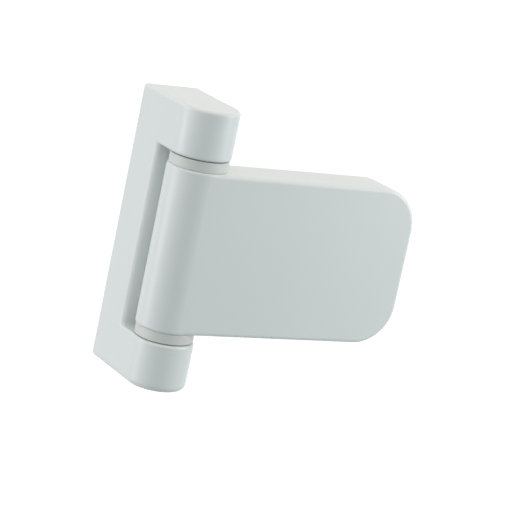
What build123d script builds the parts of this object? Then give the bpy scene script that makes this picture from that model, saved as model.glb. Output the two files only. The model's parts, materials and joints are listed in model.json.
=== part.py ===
from build123d import *
import os

# A flag hinge for a door that overlaps its frame. A cast bracket with two knuckles is screwed to
# the frame, and a broad covered flag turns between them on a steel pin. Under the cover, the flag's
# leaf slides on a plate that is screwed to the door, so the door can be set sideways.
# Every function works in millimetres with the pin's axis on Z, mid-height at zero, +Y towards the
# frame and the closed flag along +X. The exported model has its origin on the frame face.

# Frame bracket
bracket_height = 100.0
knuckle_diameter = 21.6
knuckle_height = 17.2
axis_to_frame = 28.2
bracket_wall = 3.2
spine_web = 3.6
core_rib = 2.5
top_round = 1.2
foot_round = 2.2
slot_corner = 1.0
slot_round = 1.0
outer_screw_inset = 7.8
inner_screw_spacing = 18.0
screw_boss_diameter = 10.4

# Wood and frame screws, which the hinge is fitted with
screw_hole_diameter = 5.2
screw_head_diameter = 9.0

# Pin, bushes and what holds the pin
pin_diameter = 9.0
pin_seat_depth = 11.7
pin_chamfer = 0.8
bush_wall = 1.7
bush_sleeve_length = 18.0
flange_height = 3.7
flange_inset = 0.45
flange_round = 0.4
set_screw_diameter = 5.0
set_screw_key = 2.5
set_screw_key_depth = 2.5
set_screw_height = 6.5
set_screw_recess = 1.0
plug_head_diameter = 13.0
plug_head_thickness = 2.0
plug_stem_length = 4.2

# Flag and its cover
flag_reach = 86.3
flag_thickness = 16.2
flag_corner = 14.7
flag_round = 1.5
barrel_round = 0.9
cover_front = 2.2
cover_wall = 1.8
wrap_end = 3.7
cover_post_diameter = 5.0
cover_post_spacing = 28.0
snap_bead_radius = 0.5
snap_bead_length = 22.0

# Leaf, door plate and sideways adjuster
leaf_thickness = 4.4
leaf_root = 3.7
leaf_rail = 4.9
leaf_end_wall = 2.55
plate_thickness = 3.5
plate_corner = 3.0
door_screw_inset = 7.8
adjuster_travel = 3.0
adjuster_diameter = 6.0
adjuster_head_diameter = 8.0
adjuster_head_length = 3.0
adjuster_head_recess = 0.75
adjuster_key = 4.0
adjuster_key_depth = 2.0
adjuster_boss_length = 3.7
adjuster_boss_width = 13.0
clip_thickness = 1.0
clip_groove_depth = 0.65
lug_thickness = 4.0
lug_width = 9.6
clamp_diameter = 6.0
clamp_head_diameter = 11.0
clamp_head_height = 3.0
clamp_key = 4.0
clamp_key_depth = 1.8
clamp_spacing = 20.0
washer_diameter = 12.6
washer_thickness = 1.0

# Clearances
running_gap = 0.3
spine_gap = 0.6
pin_slip = 0.03
pin_running = 0.05
bush_press = 0.02
cover_fit = 0.15
slide_gap = 0.1
rim_gap = 0.2
stop_gap = 0.5
thread_gap = 0.05
screw_head_gap = 0.3
window_gap = 0.4
end_float = 0.1

# Overlap that lets a cutting tool run past the face that it cuts
past = 1.0

# Heights, from the pin's mid-height
knuckle_radius = knuckle_diameter / 2
pin_radius = pin_diameter / 2
half_bracket = bracket_height / 2
half_slot = half_bracket - knuckle_height
half_flag = half_slot - running_gap - flange_height
half_cavity = half_flag - cover_wall
half_leaf = half_cavity - cover_fit
half_channel = half_leaf - leaf_rail
half_plate = half_channel - cover_fit
half_screw_square = half_plate - door_screw_inset
outer_screw_z = half_slot - outer_screw_inset
inner_screw_z = inner_screw_spacing / 2

# Depths, from the pin's axis towards the frame
spine_y = knuckle_radius + spine_gap
front_y = -knuckle_radius
cavity_y = front_y + cover_front
door_y = front_y + flag_thickness
rim_y = door_y - rim_gap
plate_y = door_y - plate_thickness
leaf_back_y = plate_y - slide_gap
leaf_front_y = leaf_back_y - leaf_thickness
adjuster_y = leaf_back_y - adjuster_head_diameter / 2 - window_gap

# Lengths along the closed flag, from the pin's axis
leaf_end = flag_reach - cover_wall - cover_fit
channel_start = knuckle_radius + leaf_root
channel_end = leaf_end - leaf_end_wall
plate_start = channel_start + stop_gap + adjuster_travel
plate_end = channel_end - stop_gap - adjuster_travel
plate_middle = (plate_start + plate_end) / 2
head_end = leaf_end - adjuster_head_recess
head_seat = head_end - adjuster_head_length
boss_end = head_seat - end_float
boss_start = boss_end - adjuster_boss_length
clip_end = boss_start - end_float
clip_start = clip_end - clip_thickness
lug_end = clip_start - adjuster_travel - stop_gap
lug_start = lug_end - lug_thickness
adjuster_tip = lug_start - adjuster_travel - stop_gap
window_start = adjuster_tip - stop_gap
clamp_first = plate_start + washer_diameter / 2 + stop_gap
post_places = (channel_start, plate_middle, boss_start)

# Radii about the pin's axis
barrel_core_radius = knuckle_radius - cover_wall - cover_fit
bush_radius = pin_radius + pin_running + bush_wall


def slab(sketch, start, end):
    """Extrudes a sketch that is drawn in X and Z from one depth along Y to another."""
    return Rot(90, 0, 0) * (Pos(0, 0, -end) * extrude(sketch, end - start))


def block(x, y, z):
    """A box between the two limits given for each axis."""
    size = [limits[1] - limits[0] for limits in (x, y, z)]
    middle = [(limits[0] + limits[1]) / 2 for limits in (x, y, z)]
    return Pos(*middle) * Box(*size)


def rod(diameter, start, end):
    """A round bar along Z, on the pin's axis."""
    return Pos(0, 0, (start + end) / 2) * Cylinder(diameter / 2, end - start)


def rod_along_x(diameter, start, end, y=0.0, z=0.0):
    """A round bar along X."""
    return Pos((start + end) / 2, y, z) * Rot(0, 90, 0) * Cylinder(diameter / 2, end - start)


def rod_along_y(diameter, start, end, x=0.0, z=0.0):
    """A round bar along Y."""
    return Pos(x, (start + end) / 2, z) * Rot(90, 0, 0) * Cylinder(diameter / 2, end - start)


def hexagon(across_flats):
    """A key socket's outline."""
    return RegularPolygon(across_flats / 2, 6, major_radius=False)


def slot_along_x(length, width, start, end, x, z):
    """A round-ended slot through the flag, its length along X and its depth along Y."""
    return slab(Pos(x, z) * SlotOverall(length, width), start, end)


def countersunk_hole(head_y, tail_y, x, z):
    """A screw hole along Y, with a right-angled countersink at the head's end."""
    sink = (screw_head_diameter - screw_hole_diameter) / 2
    cone = Cone(screw_head_diameter / 2, screw_hole_diameter / 2, sink)
    hole = rod_along_y(screw_hole_diameter, head_y - past, tail_y + past, x, z)
    return hole + Pos(x, head_y + sink / 2, z) * Rot(-90, 0, 0) * cone


def tongue(reach, half_height, corner):
    """The flag's face: square where it meets the barrel, with round corners at its free end."""
    plain = Pos(reach / 2, 0) * Rectangle(reach, 2 * half_height)
    return fillet(plain.vertices().group_by(Axis.X)[-1], corner)


def frame_screw_places():
    """Heights of the bracket's screws, in an outer pair and an inner pair behind the barrel."""
    return [-outer_screw_z, -inner_screw_z, inner_screw_z, outer_screw_z]


def bracket_body():
    """The outer form: a straight-sided block with a round nose, its slot cut for the barrel."""
    plan = Circle(knuckle_radius) + Pos(0, axis_to_frame / 2) * Rectangle(knuckle_diameter, axis_to_frame)
    body = Pos(0, 0, -half_bracket) * extrude(plan, bracket_height)
    for end, rounding in ((-1, top_round), (0, foot_round)):
        rim = body.edges().group_by(Axis.Z)[end]
        body = fillet([edge for edge in rim if edge.center().Y < axis_to_frame - past], rounding)
    reach = spine_y - front_y + past
    opening = Pos(spine_y - reach / 2, 0) * Rectangle(reach, 2 * half_slot)
    opening = fillet(opening.vertices().group_by(Axis.X)[-1], slot_corner)
    cutter = Pos(0, 0, -knuckle_diameter) * extrude(opening, 2 * knuckle_diameter)
    body -= Rot(0, 0, 90) * Rot(90, 0, 0) * cutter
    inner = body.edges().filter_by_position(Axis.Z, -half_slot, half_slot)
    mouth = [edge for edge in inner if edge.center().Y < spine_y + past]
    sides = [edge for edge in mouth if abs(edge.center().X) > knuckle_radius - past]
    noses = [edge for edge in mouth if edge.center().Y < 0]
    return fillet(sides + noses, slot_round)


def bracket_coring():
    """Pockets that thin the bracket from behind, left and right of a rib and clear of the screws."""
    floor_y = spine_y + spine_web
    width = knuckle_diameter - 2 * bracket_wall
    height = bracket_height - 2 * bracket_wall
    pockets = slab(RectangleRounded(width, height, slot_corner), floor_y, axis_to_frame + past)
    pockets -= block((-core_rib / 2, core_rib / 2), (floor_y, axis_to_frame), (-half_bracket, half_bracket))
    for z in frame_screw_places():
        pockets -= rod_along_y(screw_boss_diameter, floor_y, axis_to_frame + 2 * past, z=z)
    return pockets


def set_screw_height_at(side):
    return side * (half_slot + set_screw_height)


def make_frame_bracket():
    bracket = bracket_body() - bracket_coring()
    bracket -= rod(pin_diameter + 2 * pin_slip, -half_bracket - past, half_slot + pin_seat_depth)
    bracket -= rod(plug_head_diameter, -half_bracket - past, -half_bracket + plug_head_thickness)
    for side in (-1, 1):
        bracket -= rod_along_x(set_screw_diameter, 0, knuckle_radius + past, z=set_screw_height_at(side))
    for z in frame_screw_places():
        bracket -= countersunk_hole(spine_y, axis_to_frame, 0, z)
    return bracket


def make_hinge_pin():
    foot = -half_bracket + plug_head_thickness + plug_stem_length
    pin = rod(pin_diameter, foot, half_slot + pin_seat_depth)
    return chamfer(pin.edges().filter_by(GeomType.CIRCLE), pin_chamfer)


def make_pin_set_screws():
    """One socket screw in each knuckle, driven in from the door's side against the pin."""
    tip = pin_radius + thread_gap
    tail = knuckle_radius - set_screw_recess
    screw = rod_along_x(set_screw_diameter - 2 * thread_gap, tip, tail)
    socket = Pos(tail, 0, 0) * Rot(0, -90, 0) * extrude(hexagon(set_screw_key), set_screw_key_depth)
    screw -= socket
    return [Pos(0, 0, set_screw_height_at(side)) * screw for side in (-1, 1)]


def make_bottom_plug():
    foot = -half_bracket
    plug = rod(plug_head_diameter - 2 * thread_gap, foot, foot + plug_head_thickness)
    plug = fillet(plug.edges().group_by(Axis.Z)[0], flange_round)
    stem_end = foot + plug_head_thickness + plug_stem_length - end_float
    return plug + rod(pin_diameter - 2 * thread_gap, foot + plug_head_thickness, stem_end)


def make_upper_bush():
    """A nylon bush pressed into the barrel, its flange filling the gap below the knuckle."""
    flange = rod(knuckle_diameter - 2 * flange_inset, half_flag, half_flag + flange_height)
    flange = fillet(flange.edges().filter_by(GeomType.CIRCLE), flange_round)
    sleeve_end = half_flag - bush_sleeve_length
    sleeve = rod(2 * (bush_radius - bush_press), sleeve_end, half_flag + flange_height / 2)
    bore = rod(pin_diameter + 2 * pin_running, 0, half_bracket)
    return flange + sleeve - bore


def make_lower_bush():
    return mirror(make_upper_bush(), Plane.XY)


def snap_beads(radius):
    """Round beads inside the cover's long edges, or the grooves in the leaf that take them."""
    middle_y = (leaf_front_y + leaf_back_y) / 2
    start = plate_middle - snap_bead_length / 2
    end = plate_middle + snap_bead_length / 2
    beads = [rod_along_x(2 * radius, start, end, middle_y, side * half_cavity) for side in (-1, 1)]
    return beads[0] + beads[1]


def barrel_form():
    """The barrel's outer form, its ends softened where they meet the bushes."""
    barrel = rod(knuckle_diameter, -half_flag, half_flag)
    return fillet(barrel.edges().filter_by(GeomType.CIRCLE), barrel_round)


def make_flag_cover():
    """A moulded shell over the leaf, which runs on round the barrel as one skin."""
    cover = slab(tongue(flag_reach, half_flag, flag_corner), front_y, rim_y)
    front = [edge for edge in cover.edges().group_by(Axis.Y)[0] if edge.center().X > past]
    cover = fillet(front, flag_round)
    cover += barrel_form()
    hollow = tongue(flag_reach - cover_wall, half_cavity, flag_corner - cover_wall)
    cover -= slab(hollow, cavity_y, rim_y + past)
    cover -= rod(2 * (barrel_core_radius + cover_fit), -half_flag - past, half_flag + past)
    behind = (rim_y, knuckle_radius + past)
    cover -= block((-wrap_end, knuckle_radius + past), behind, (-half_flag - past, half_flag + past))
    for x in post_places:
        for z in (-cover_post_spacing / 2, cover_post_spacing / 2):
            cover += rod_along_y(cover_post_diameter, cavity_y - past, leaf_front_y, x, z)
    return cover + snap_beads(snap_bead_radius)


def square_corners(half):
    return [(x, z) for x in (-half, half) for z in (-half, half)]


def door_screw_places():
    return [(plate_middle + x, z) for x, z in square_corners(half_screw_square)]


def clamp_places():
    return [clamp_first, clamp_first + clamp_spacing]


def make_flag_leaf():
    """The cast leaf: a barrel on the pin, and a channelled plate that slides on the door plate."""
    corner = flag_corner - cover_wall - cover_fit
    leaf = slab(tongue(leaf_end, half_leaf, corner), leaf_front_y, rim_y)
    channel_width = (-half_channel, half_channel)
    leaf -= block((channel_start, channel_end), (leaf_back_y, rim_y + past), channel_width)
    leaf += rod(2 * barrel_core_radius, -half_flag, half_flag)
    behind = block((cover_fit - wrap_end, knuckle_radius), (rim_y, knuckle_radius), (-half_flag, half_flag))
    leaf += barrel_form() & behind
    leaf += adjuster_boss()
    leaf -= rod(2 * bush_radius, -half_flag - past, half_flag + past)
    through = (leaf_front_y - past, leaf_back_y + past)
    window = screw_head_diameter + 2 * screw_head_gap
    for x, z in door_screw_places():
        leaf -= slot_along_x(window + 2 * adjuster_travel, window, *through, x, z)
    clamp_slot = clamp_diameter + 2 * window_gap
    for x in clamp_places():
        leaf -= slot_along_x(clamp_slot + 2 * adjuster_travel, clamp_slot, *through, x, 0)
    half_window = lug_width / 2 + window_gap
    leaf -= block((window_start, boss_start), through, (-half_window, half_window))
    leaf -= block((boss_end, leaf_end + past), (front_y, leaf_back_y), (-half_window, half_window))
    leaf -= rod_along_x(adjuster_diameter + 2 * end_float, window_start, leaf_end, adjuster_y)
    return leaf - snap_beads(snap_bead_radius + cover_fit)


def adjuster_boss():
    """The bearing that the adjuster's neck turns in."""
    top_y = adjuster_y - adjuster_head_diameter / 2
    half = adjuster_boss_width / 2
    boss = block((boss_start, boss_end), (top_y, leaf_front_y + past), (-half, half))
    return fillet(boss.edges().filter_by(Axis.X).group_by(Axis.Y)[0], slot_corner)


def make_door_plate():
    """The steel plate that is screwed to the door, with an upturned lug for the adjuster."""
    length = plate_end - plate_start
    outline = Pos(plate_middle, 0) * RectangleRounded(length, 2 * half_plate, plate_corner)
    plate = slab(outline, plate_y, door_y)
    for x, z in door_screw_places():
        plate -= countersunk_hole(plate_y, door_y, x, z)
    for x in clamp_places():
        plate -= rod_along_y(clamp_diameter + 2 * thread_gap, plate_y - past, door_y + past, x)
    top_y = adjuster_y - adjuster_head_diameter / 2
    lug = block((lug_start, lug_end), (top_y, plate_y + past), (-lug_width / 2, lug_width / 2))
    lug = fillet(lug.edges().filter_by(Axis.X).group_by(Axis.Y)[0], plate_corner)
    thread = adjuster_diameter + 2 * thread_gap
    return plate + lug - rod_along_x(thread, lug_start - past, lug_end + past, adjuster_y)


def make_lateral_adjuster():
    """A screw turned by a key at its outer end, which draws the door plate along the leaf."""
    screw = rod_along_x(adjuster_diameter, adjuster_tip, head_seat, adjuster_y)
    screw += rod_along_x(adjuster_head_diameter, head_seat, head_end, adjuster_y)
    neck = adjuster_diameter - 2 * clip_groove_depth
    groove = rod_along_x(adjuster_diameter + past, clip_start, clip_end, adjuster_y)
    screw -= groove - rod_along_x(neck, clip_start, clip_end, adjuster_y)
    socket = Rot(0, -90, 0) * extrude(hexagon(adjuster_key), adjuster_key_depth)
    return screw - Pos(head_end, adjuster_y, 0) * socket


def make_adjuster_clip():
    """The open spring clip in the adjuster's groove, behind its bearing."""
    inner = adjuster_diameter - 2 * clip_groove_depth + 2 * thread_gap
    span = (clip_start + thread_gap, clip_end - thread_gap)
    clip = rod_along_x(adjuster_head_diameter, *span, adjuster_y) - rod_along_x(inner, *span, adjuster_y)
    mouth = (adjuster_y - adjuster_head_diameter, adjuster_y)
    return clip - block(span, mouth, (-inner / 2 + thread_gap, inner / 2 - thread_gap))


def make_clamp_screws():
    """Two socket-head screws that lock the leaf to the door plate."""
    seat = leaf_front_y - washer_thickness
    crown = seat - clamp_head_height
    screw = rod_along_y(clamp_diameter, seat, door_y - end_float)
    head = rod_along_y(clamp_head_diameter, crown, seat)
    head = fillet(head.edges().group_by(Axis.Y)[0], slot_round)
    screw += head - slab(hexagon(clamp_key), crown - past, crown + clamp_key_depth)
    return [Pos(x, 0, 0) * screw for x in clamp_places()]


def make_clamp_washers():
    ring = rod_along_y(washer_diameter, leaf_front_y - washer_thickness, leaf_front_y)
    ring -= rod_along_y(clamp_diameter + 2 * end_float, leaf_front_y - washer_thickness, leaf_front_y)
    return [Pos(x, 0, 0) * ring for x in clamp_places()]


frame_pieces = {
    "frame_bracket": make_frame_bracket(),
    "hinge_pin": make_hinge_pin(),
    "pin_set_screws": make_pin_set_screws(),
    "bottom_plug": make_bottom_plug(),
}
flag_pieces = {
    "flag_leaf": make_flag_leaf(),
    "flag_cover": make_flag_cover(),
    "upper_bush": make_upper_bush(),
    "lower_bush": make_lower_bush(),
    "door_plate": make_door_plate(),
    "clamp_screws": make_clamp_screws(),
    "clamp_washers": make_clamp_washers(),
    "lateral_adjuster": make_lateral_adjuster(),
    "adjuster_clip": make_adjuster_clip(),
}

# The frame face is at the origin
frame_place = Pos(0, -axis_to_frame, 0)

os.makedirs("parts", exist_ok=True)
for name, piece in (frame_pieces | flag_pieces).items():
    shapes = piece if isinstance(piece, list) else [piece]
    solids = [solid for shape in shapes for solid in (frame_place * shape).solids()]
    export_step(Compound(children=solids), f"parts/{name}.step")
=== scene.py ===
import json
from math import copysign, cos, hypot, pi, radians, sin

import bpy
from mathutils import Matrix, Vector


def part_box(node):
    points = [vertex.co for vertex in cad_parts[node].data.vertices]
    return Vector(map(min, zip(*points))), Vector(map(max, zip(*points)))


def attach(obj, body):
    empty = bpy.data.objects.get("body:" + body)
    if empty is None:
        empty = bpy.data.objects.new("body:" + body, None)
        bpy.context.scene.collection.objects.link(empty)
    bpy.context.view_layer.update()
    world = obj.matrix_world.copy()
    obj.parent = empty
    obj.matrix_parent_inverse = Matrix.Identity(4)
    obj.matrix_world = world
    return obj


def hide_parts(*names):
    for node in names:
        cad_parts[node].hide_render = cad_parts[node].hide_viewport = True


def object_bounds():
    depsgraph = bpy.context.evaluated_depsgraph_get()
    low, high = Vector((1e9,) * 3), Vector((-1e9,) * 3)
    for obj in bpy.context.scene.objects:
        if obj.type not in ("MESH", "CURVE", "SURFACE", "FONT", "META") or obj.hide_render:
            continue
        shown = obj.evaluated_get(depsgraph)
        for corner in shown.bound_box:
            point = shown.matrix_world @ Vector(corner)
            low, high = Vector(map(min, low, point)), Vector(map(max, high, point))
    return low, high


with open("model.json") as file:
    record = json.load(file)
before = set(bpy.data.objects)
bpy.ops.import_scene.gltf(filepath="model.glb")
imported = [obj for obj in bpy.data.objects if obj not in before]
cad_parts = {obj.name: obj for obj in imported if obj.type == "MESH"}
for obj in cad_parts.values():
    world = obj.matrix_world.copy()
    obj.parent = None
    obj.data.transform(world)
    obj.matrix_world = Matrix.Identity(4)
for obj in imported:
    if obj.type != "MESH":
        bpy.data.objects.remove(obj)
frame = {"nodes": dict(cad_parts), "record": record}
cad_box = [list(corner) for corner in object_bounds()]
scene = bpy.context.scene
scene.view_settings.view_transform = "Standard"

# Camera, in metres and degrees: a long lens, from the front left and a little above
camera_place = Vector((-0.40246, -0.71108, 0.18925))
camera_yaw = 32.365
camera_pitch = 13.288
camera_roll = 11.887
camera_lens_mm = 166.88
camera_nearest = 0.01
sensor_mm = 36.0

# Slot of the bracket, in metres from the frame's origin, and the wider rounding of its upright edges
bracket_side = 0.0108
slot_back = -0.0168
slot_half_height = 0.0328
slot_corner = 0.001
slot_round = 0.001
upright_round = 0.0022
touching = 0.00002

# Threads: depth, crest and root are shares of the pitch
turn_points = 48
rows_a_pitch = 16
thread_depth = 0.6134
crest_share = 0.125
root_share = 0.25
sharp_edge_degrees = 30
m6_radius = 0.003
m6_pitch = 0.001
m5_pitch = 0.0008

# Screws, in metres: their tips, heads and hexagonal sockets
tip_chamfer = 0.0004
edge_break = 0.0002
set_screw_key = 0.0025
set_screw_key_depth = 0.0025
adjuster_head_length = 0.003
adjuster_bearing = 0.0039
adjuster_groove = 0.001
adjuster_neck = 0.00235
adjuster_collar = 0.0008
adjuster_key = 0.004
adjuster_key_depth = 0.002
clamp_head_height = 0.003
clamp_head_round = 0.001
clamp_head_round_steps = 8
clamp_head_radius = 0.0055
clamp_key = 0.004
clamp_key_depth = 0.0018

# Floor, backdrop and the light from all round
floor_drop = 0.45
floor_size = 12.0
floor_colour = (0.40, 0.40, 0.40, 1.0)
floor_glow = 0.90
ambient_colour = (0.871, 0.970, 1.0, 1.0)
ambient_strength = 0.595
white = (1.0, 1.0, 1.0, 1.0)

# Finishes, as linear colours
coat_white = (0.790, 0.815, 0.812, 1.0)
coat_shade = (0.775, 0.802, 0.800, 1.0)
nylon_white = (0.709, 0.723, 0.695, 1.0)
nylon_shade = (0.690, 0.706, 0.676, 1.0)
steel_light = (0.640, 0.640, 0.645, 1.0)
steel_dark = (0.520, 0.520, 0.530, 1.0)
zinc_light = (0.560, 0.575, 0.595, 1.0)
zinc_dark = (0.470, 0.485, 0.510, 1.0)
oxide_light = (0.055, 0.055, 0.060, 1.0)
oxide_dark = (0.030, 0.030, 0.033, 1.0)

# The part of a grain's range, from 0 to 1, over which colour and roughness change
colour_span = (0.35, 0.65)
roughness_span = (0.3, 0.7)


class Finish:
    """A material on object coordinates in metres, so that its grain has a real size."""

    def __init__(self, name):
        self.material = bpy.data.materials.new(name)
        self.material.use_nodes = True
        self.tree = self.material.node_tree
        self.shader = self.tree.nodes["Principled BSDF"]
        self.place = self.tree.nodes.new("ShaderNodeTexCoord").outputs["Object"]

    def link(self, source, socket):
        self.tree.links.new(source, self.shader.inputs[socket])

    def grain(self, size, detail=3.0, stretch=None):
        """Noise whose features are about that many metres across."""
        noise = self.tree.nodes.new("ShaderNodeTexNoise")
        noise.inputs["Scale"].default_value = 1 / size
        noise.inputs["Detail"].default_value = detail
        place = self.place
        if stretch:
            mapping = self.tree.nodes.new("ShaderNodeMapping")
            mapping.inputs["Scale"].default_value = stretch
            self.tree.links.new(place, mapping.inputs["Vector"])
            place = mapping.outputs["Vector"]
        self.tree.links.new(place, noise.inputs["Vector"])
        return noise.outputs["Fac"]

    def colour(self, grain, light, dark):
        """Colours the surface by the grain."""
        ramp = self.tree.nodes.new("ShaderNodeValToRGB")
        for element, position, tone in zip(ramp.color_ramp.elements, colour_span, (dark, light)):
            element.position = position
            element.color = tone
        self.tree.links.new(grain, ramp.inputs["Fac"])
        self.link(ramp.outputs["Color"], "Base Color")

    def roughness(self, grain, low, high):
        """Varies the roughness by the grain, between two values."""
        spread = self.tree.nodes.new("ShaderNodeMapRange")
        spread.inputs["From Min"].default_value = roughness_span[0]
        spread.inputs["From Max"].default_value = roughness_span[1]
        spread.inputs["To Min"].default_value = low
        spread.inputs["To Max"].default_value = high
        self.tree.links.new(grain, spread.inputs["Value"])
        self.link(spread.outputs["Result"], "Roughness")

    def relief(self, grain, depth):
        """Raises the surface by the grain, to that depth in metres."""
        bump = self.tree.nodes.new("ShaderNodeBump")
        bump.inputs["Strength"].default_value = 1.0
        bump.inputs["Distance"].default_value = depth
        self.tree.links.new(grain, bump.inputs["Height"])
        self.link(bump.outputs["Normal"], "Normal")

    def metal(self, share=1.0):
        self.shader.inputs["Metallic"].default_value = share


def powder_coat():
    """Satin white coat over a casting, with a faint orange peel."""
    finish = Finish("white_powder_coat")
    finish.colour(finish.grain(size=0.030, detail=4.0), light=coat_white, dark=coat_shade)
    finish.roughness(finish.grain(size=0.006), low=0.30, high=0.38)
    finish.relief(finish.grain(size=0.0016, detail=2.0), depth=0.000012)
    return finish.material


def moulded_white():
    """Satin white moulding, with the fine sparkle of an eroded mould."""
    finish = Finish("white_moulding")
    finish.colour(finish.grain(size=0.045), light=coat_white, dark=coat_shade)
    finish.roughness(finish.grain(size=0.008), low=0.31, high=0.37)
    finish.relief(finish.grain(size=0.0007, detail=2.0), depth=0.000006)
    return finish.material


def nylon():
    """Natural nylon: a little creamier than the coat, and more matt."""
    finish = Finish("natural_nylon")
    finish.colour(finish.grain(size=0.012), light=nylon_white, dark=nylon_shade)
    finish.roughness(finish.grain(size=0.004), low=0.42, high=0.50)
    finish.relief(finish.grain(size=0.0009, detail=2.0), depth=0.000008)
    return finish.material


def ground_steel():
    """Steel with fine grinding marks round the pin."""
    finish = Finish("ground_steel")
    marks = finish.grain(size=0.010, detail=6.0, stretch=(1.0, 1.0, 60.0))
    finish.colour(marks, light=steel_light, dark=steel_dark)
    finish.roughness(marks, low=0.22, high=0.34)
    finish.relief(marks, depth=0.000004)
    finish.metal()
    return finish.material


def zinc_plate():
    """Bright zinc over pressed steel, slightly blue, with the faint lines of the rolled sheet."""
    finish = Finish("bright_zinc_plate")
    rolled = finish.grain(size=0.012, detail=6.0, stretch=(1.0, 1.0, 24.0))
    finish.colour(rolled, light=zinc_light, dark=zinc_dark)
    finish.roughness(finish.grain(size=0.002, detail=4.0), low=0.34, high=0.46)
    finish.relief(rolled, depth=0.000006)
    finish.metal()
    return finish.material


def zinc_screw():
    """The same zinc over turned and rolled screws, which only mottles it."""
    finish = Finish("bright_zinc_screw")
    finish.colour(finish.grain(size=0.002, detail=5.0), light=zinc_light, dark=zinc_dark)
    finish.roughness(finish.grain(size=0.001), low=0.30, high=0.42)
    finish.relief(finish.grain(size=0.0004), depth=0.000004)
    finish.metal()
    return finish.material


def black_oxide():
    """Blackened steel of small socket screws and clips."""
    finish = Finish("black_oxide")
    finish.colour(finish.grain(size=0.002), light=oxide_light, dark=oxide_dark)
    finish.roughness(finish.grain(size=0.001), low=0.38, high=0.52)
    finish.relief(finish.grain(size=0.0005, detail=2.0), depth=0.000006)
    finish.metal(share=0.6)
    return finish.material


def make_finishes():
    """The finish of each material slot in the record."""
    return {
        "white_coat": powder_coat(),
        "white_cover": moulded_white(),
        "nylon": nylon(),
        "bright_steel": ground_steel(),
        "black_steel": black_oxide(),
        "plated_steel": zinc_plate(),
    }


def dress_nodes(finishes):
    """Gives each solid the finish of its material slot."""
    for part in frame["record"]["subparts"]:
        for slot in frame["nodes"][part["node"]].material_slots:
            slot.material = finishes[part["material_slot"]]


def stand_for(node, mesh):
    """An object with this mesh, in the node's place and on its body."""
    bodies = frame["record"]["behaviour"]["bodies"]
    piece = bpy.data.objects.new(mesh.name, mesh)
    scene.collection.objects.link(piece)
    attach(piece, next(body for body in bodies if node in bodies[body]))
    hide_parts(node)


def softened(place):
    """Where a point of the bracket lies once the slot's upright edges have their wider rounding.

    Only points of the rounded mouth move. The rounding narrows again round the slot's corners.
    """
    back = place.y - slot_back + slot_corner
    up = max(abs(place.z) - slot_half_height + slot_corner, 0)
    from_corner = hypot(back, up)
    past_side = bracket_side - abs(place.x)
    past_wall = from_corner - slot_corner
    if back < 0 or max(past_side, past_wall) > slot_round + touching or past_wall < -touching:
        return place
    wider = 1 + (upright_round / slot_round - 1) * (back / from_corner) ** 2
    outward = (slot_corner + wider * past_wall) / from_corner - 1
    return Vector((
        copysign(bracket_side - wider * past_side, place.x),
        place.y + back * outward,
        place.z + copysign(up * outward, place.z),
    ))


def make_bracket():
    """The bracket with its softer slot, which keeps the normals of the solid."""
    node = "frame_bracket"
    mesh = frame["nodes"][node].data.copy()
    mesh.name = node + "_softened"
    normals = [corner.vector.copy() for corner in mesh.corner_normals]
    for vertex in mesh.vertices:
        vertex.co = softened(vertex.co)
    mesh.normals_split_custom_set(normals)
    stand_for(node, mesh)


def round_ring(along, radius):
    """A ring of points round a screw's axis, at a distance from its tip."""
    return along, [radius] * turn_points


def key_ring(along, across_flats):
    """A ring of points on the walls of a hexagonal key socket."""
    sixth = pi / 3
    angles = [2 * pi * point / turn_points for point in range(turn_points)]
    return along, [across_flats / 2 / cos(angle % sixth - sixth / 2) for angle in angles]


def tip_ring(radius, pitch):
    """The flat tip of a screw, inside the chamfer that leads its thread in."""
    return round_ring(0.0, radius - thread_depth * pitch - tip_chamfer)


def thread_rings(start, end, radius, pitch):
    """A right-hand metric thread, which runs out to its root at both ends."""
    rings = []
    rows = round((end - start) / pitch * rows_a_pitch)
    for row in range(rows + 1):
        along = start + (end - start) * row / rows
        height = min(1.0, (along - start) / pitch, (end - along) / pitch)
        radii = []
        for point in range(turn_points):
            flank = abs(2 * ((along / pitch - point / turn_points) % 1.0) - 1)
            cut = min(1.0, max(0.0, (flank - crest_share) / (1 - crest_share - root_share)))
            radii.append(radius - thread_depth * pitch * (1 - height * (1 - cut)))
        rings.append((along, radii))
    return rings


def socket_rings(end, key, depth):
    """The hexagonal socket that a key turns, from the end face to its floor."""
    return [key_ring(end - edge_break, key), key_ring(end - depth, key)]


def make_screws(node, rings, axis, tips, finish):
    """One closed mesh a screw, with its axis from tip to head, in place of the node's plain solids."""
    across = axis.orthogonal().normalized()
    up = axis.cross(across)
    spokes = []
    for point in range(turn_points):
        angle = 2 * pi * point / turn_points
        spokes.append(across * cos(angle) + up * sin(angle))
    points = []
    faces = []
    for tip in tips:
        first = len(points)
        for along, radii in rings:
            points += [tip + axis * along + spoke * radius for spoke, radius in zip(spokes, radii)]
        last = len(points) - turn_points
        for low in range(first, last, turn_points):
            high = low + turn_points
            for point in range(turn_points):
                beside = (point + 1) % turn_points
                faces.append((low + point, low + beside, high + beside, high + point))
        faces.append(tuple(reversed(range(first, first + turn_points))))
        faces.append(tuple(range(last, last + turn_points)))
    mesh = bpy.data.meshes.new(node + "_threaded")
    mesh.from_pydata(points, [], faces)
    mesh.shade_smooth()
    mesh.set_sharp_from_angle(angle=radians(sharp_edge_degrees))
    mesh.materials.append(finish)
    stand_for(node, mesh)


def make_set_screws(finish):
    """The headless screw in each knuckle that holds the pin."""
    low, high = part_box("pin_set_screws")
    radius = (high.y - low.y) / 2
    length = high.x - low.x
    rings = [tip_ring(radius, m5_pitch)]
    rings += thread_rings(tip_chamfer, length, radius, m5_pitch)
    rings += socket_rings(length, set_screw_key, set_screw_key_depth)
    tips = [Vector((low.x, low.y + radius, z)) for z in (low.z + radius, high.z - radius)]
    make_screws("pin_set_screws", rings, Vector((1, 0, 0)), tips, finish)


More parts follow.
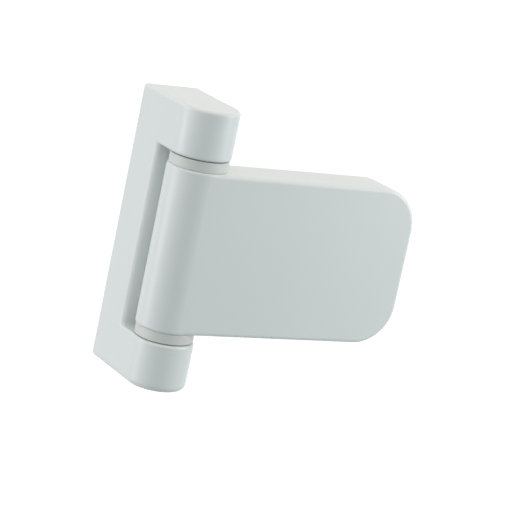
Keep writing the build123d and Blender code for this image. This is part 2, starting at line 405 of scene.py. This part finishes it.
def make_lateral_adjuster(finish):
    """The screw that draws the door plate sideways, with the neck for its clip behind the bearing."""
    low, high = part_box("lateral_adjuster")
    head_radius = (high.z - low.z) / 2
    length = high.x - low.x
    seat = length - adjuster_head_length
    neck_end = seat - adjuster_bearing
    neck_start = neck_end - adjuster_groove
    collar = neck_start - adjuster_collar
    rings = [tip_ring(m6_radius, m6_pitch)]
    rings += thread_rings(tip_chamfer, collar, m6_radius, m6_pitch)
    rings += [round_ring(collar, m6_radius), round_ring(neck_start, m6_radius)]
    rings += [round_ring(neck_start, adjuster_neck), round_ring(neck_end, adjuster_neck)]
    rings += [round_ring(neck_end, m6_radius), round_ring(seat, m6_radius)]
    rings += [round_ring(seat, head_radius), round_ring(length - edge_break, head_radius)]
    rings += [round_ring(length, head_radius - edge_break), key_ring(length, adjuster_key + 2 * edge_break)]
    rings += socket_rings(length, adjuster_key, adjuster_key_depth)
    tip = Vector((low.x, (low.y + high.y) / 2, (low.z + high.z) / 2))
    make_screws("lateral_adjuster", rings, Vector((1, 0, 0)), [tip], finish)


def make_clamp_screws(finish):
    """The two screws that lock the leaf to the door plate, their round heads under the cover."""
    low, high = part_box("clamp_screws")
    length = high.y - low.y
    seat = length - clamp_head_height
    rings = [tip_ring(m6_radius, m6_pitch)]
    rings += thread_rings(tip_chamfer, seat, m6_radius, m6_pitch)
    rings += [round_ring(seat, clamp_head_radius)]
    for step in range(clamp_head_round_steps + 1):
        angle = pi / 2 * step / clamp_head_round_steps
        shoulder = clamp_head_round * (1 - cos(angle))
        rise = clamp_head_round * sin(angle)
        rings.append(round_ring(length - clamp_head_round + rise, clamp_head_radius - shoulder))
    rings += [key_ring(length, clamp_key + 2 * edge_break)]
    rings += socket_rings(length, clamp_key, clamp_key_depth)
    places = (low.x + clamp_head_radius, high.x - clamp_head_radius)
    tips = [Vector((x, high.y, (low.z + high.z) / 2)) for x in places]
    make_screws("clamp_screws", rings, Vector((0, -1, 0)), tips, finish)


def seen_white(tree, lit, glow):
    """Shows white to the eye and to mirrors, and leaves other rays the lit surface."""
    path = tree.nodes.new("ShaderNodeLightPath")
    seen = path.outputs["Is Camera Ray"]
    for ray in ("Is Glossy Ray", "Is Transmission Ray"):
        either = tree.nodes.new("ShaderNodeMath")
        either.operation = "MAXIMUM"
        tree.links.new(seen, either.inputs[0])
        tree.links.new(path.outputs[ray], either.inputs[1])
        seen = either.outputs["Value"]
    mix = tree.nodes.new("ShaderNodeMixShader")
    tree.links.new(seen, mix.inputs["Fac"])
    tree.links.new(lit, mix.inputs[1])
    tree.links.new(glow, mix.inputs[2])
    return mix.outputs["Shader"]


def floor_finish():
    """A pale floor that adds some white of its own where it is looked at, and keeps a faint shadow."""
    material = bpy.data.materials.new("pale_floor")
    material.use_nodes = True
    tree = material.node_tree
    tree.nodes.remove(tree.nodes["Principled BSDF"])
    diffuse = tree.nodes.new("ShaderNodeBsdfDiffuse")
    diffuse.inputs["Color"].default_value = floor_colour
    glow = tree.nodes.new("ShaderNodeEmission")
    glow.inputs["Strength"].default_value = floor_glow
    bright = tree.nodes.new("ShaderNodeAddShader")
    tree.links.new(diffuse.outputs["BSDF"], bright.inputs[0])
    tree.links.new(glow.outputs["Emission"], bright.inputs[1])
    shown = seen_white(tree, diffuse.outputs["BSDF"], bright.outputs["Shader"])
    tree.links.new(shown, tree.nodes["Material Output"].inputs["Surface"])
    return material


def make_floor():
    """A wide floor, well below the hinge."""
    half = floor_size / 2
    height = cad_box[0][2] - floor_drop
    corners = [(-half, -half, height), (half, -half, height), (half, half, height), (-half, half, height)]
    mesh = bpy.data.meshes.new("floor")
    mesh.from_pydata(corners, [], [(0, 1, 2, 3)])
    mesh.materials.append(floor_finish())
    floor = bpy.data.objects.new("floor", mesh)
    scene.collection.objects.link(floor)


def make_world():
    """Soft light from all round, in front of a white backdrop."""
    world = bpy.data.worlds.new("studio")
    world.use_nodes = True
    tree = world.node_tree
    lit = tree.nodes["Background"]
    lit.inputs["Color"].default_value = ambient_colour
    lit.inputs["Strength"].default_value = ambient_strength
    backdrop = tree.nodes.new("ShaderNodeBackground")
    backdrop.inputs["Color"].default_value = white
    backdrop.inputs["Strength"].default_value = 1.0
    shown = seen_white(tree, lit.outputs["Background"], backdrop.outputs["Background"])
    tree.links.new(shown, tree.nodes["World Output"].inputs["Surface"])
    scene.world = world


def softbox(name, place, width, height, power, colour=white[:3]):
    """A soft rectangular light that faces the middle of the hinge."""
    lamp = bpy.data.lights.new(name, "AREA")
    lamp.shape = "RECTANGLE"
    lamp.size = width
    lamp.size_y = height
    lamp.energy = power
    lamp.color = colour
    light = bpy.data.objects.new(name, lamp)
    light.location = place
    middle = (Vector(cad_box[0]) + Vector(cad_box[1])) / 2
    light.rotation_euler = (middle - Vector(place)).to_track_quat("-Z", "Y").to_euler()
    scene.collection.objects.link(light)


def make_lights():
    softbox("key", (-1.0, 0.40, 0.05), width=0.5, height=0.9, power=4.39, colour=(1.0, 0.992, 0.944))
    softbox("side", (-1.05, -0.05, 0.05), width=0.35, height=0.9, power=0.72)
    softbox("overhead", (0.0, -0.1, 1.1), width=0.8, height=0.8, power=3.25, colour=(1.0, 0.80, 0.567))
    softbox("fill", (0.42, -0.30, 0.10), width=0.3, height=0.3, power=1.056)


def make_camera():
    data = bpy.data.cameras.new("camera")
    data.sensor_width = sensor_mm
    data.lens = camera_lens_mm
    data.clip_start = camera_nearest
    turn = Matrix.Rotation(radians(-camera_yaw), 4, "Z")
    tilt = Matrix.Rotation(pi / 2 - radians(camera_pitch), 4, "X")
    roll = Matrix.Rotation(radians(camera_roll), 4, "Z")
    camera = bpy.data.objects.new("camera", data)
    camera.matrix_world = Matrix.Translation(camera_place) @ turn @ tilt @ roll
    scene.collection.objects.link(camera)
    scene.camera = camera


finishes = make_finishes()
dress_nodes(finishes)
make_bracket()
make_set_screws(finishes["black_steel"])
plated = zinc_screw()
make_lateral_adjuster(plated)
make_clamp_screws(plated)
make_floor()
make_world()
make_lights()
make_camera()
